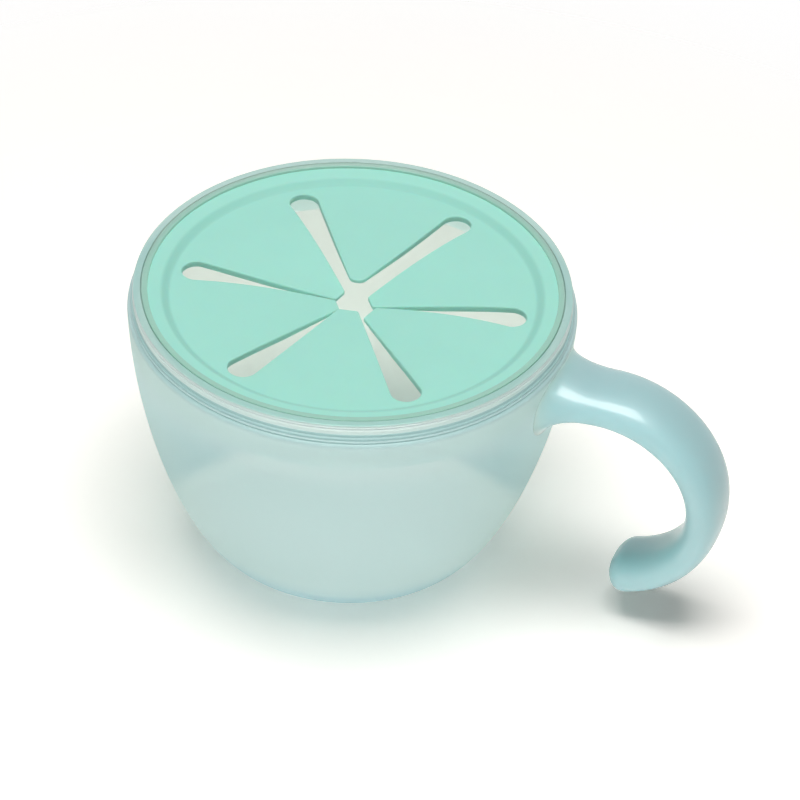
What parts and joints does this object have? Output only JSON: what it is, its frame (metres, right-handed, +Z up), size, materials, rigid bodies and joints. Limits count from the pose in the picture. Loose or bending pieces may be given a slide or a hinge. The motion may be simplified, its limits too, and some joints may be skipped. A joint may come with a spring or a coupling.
{
  "type": "toddler snack cup",
  "caption": "Round open bowl with one hook handle and a lift-off lid, whose soft slit skin folds to let a small hand in.",
  "frame": {"origin": "centre of the foot, on the plane that the cup stands on", "axes": "+Z up along the bowl's axis, +X along the handle"},
  "size_m": [0.155, 0.1106, 0.0742],
  "materials": {
    "cup_plastic": "frosted translucent, light blue",
    "ring_plastic": "translucent, light blue",
    "soft_skin": "matte, mint green, soft"
  },
  "bodies": {
    "cup": {"cup": "cup_plastic", "handle": "cup_plastic"},
    "lid": {"lid_ring": "ring_plastic", "trap_rim": "soft_skin"},
    "petal_1": {"petal_1": "soft_skin"},
    "petal_2": {"petal_2": "soft_skin"},
    "petal_3": {"petal_3": "soft_skin"},
    "petal_4": {"petal_4": "soft_skin"},
    "petal_5": {"petal_5": "soft_skin"},
    "petal_6": {"petal_6": "soft_skin"}
  },
  "joints": [
    {"name": "lid_lift", "type": "slide", "parent": "cup", "child": "lid", "axis": [0, 0, 1], "range_m": [0, 0.03]},
    {"name": "petal_1_fold", "type": "hinge", "parent": "lid", "child": "petal_1", "pos_m": [0.02536, 0.02283, 0.0715], "axis": [0.6691, -0.7431, 0], "range_deg": [-45, 60], "stiffness_Nm_per_rad": 0.02},
    {"name": "petal_2_fold", "type": "hinge", "parent": "lid", "child": "petal_2", "pos_m": [-0.00709, 0.03338, 0.0715], "axis": [0.9781, 0.2079, 0], "range_deg": [-45, 60], "stiffness_Nm_per_rad": 0.02},
    {"name": "petal_3_fold", "type": "hinge", "parent": "lid", "child": "petal_3", "pos_m": [-0.03245, 0.01054, 0.0715], "axis": [0.309, 0.9511, 0], "range_deg": [-45, 60], "stiffness_Nm_per_rad": 0.02},
    {"name": "petal_4_fold", "type": "hinge", "parent": "lid", "child": "petal_4", "pos_m": [-0.02536, -0.02283, 0.0715], "axis": [-0.6691, 0.7431, 0], "range_deg": [-45, 60], "stiffness_Nm_per_rad": 0.02},
    {"name": "petal_5_fold", "type": "hinge", "parent": "lid", "child": "petal_5", "pos_m": [0.00709, -0.03338, 0.0715], "axis": [-0.9781, -0.2079, 0], "range_deg": [-45, 60], "stiffness_Nm_per_rad": 0.02},
    {"name": "petal_6_fold", "type": "hinge", "parent": "lid", "child": "petal_6", "pos_m": [0.03245, -0.01054, 0.0715], "axis": [-0.309, -0.9511, 0], "range_deg": [-45, 60], "stiffness_Nm_per_rad": 0.02}
  ]
}
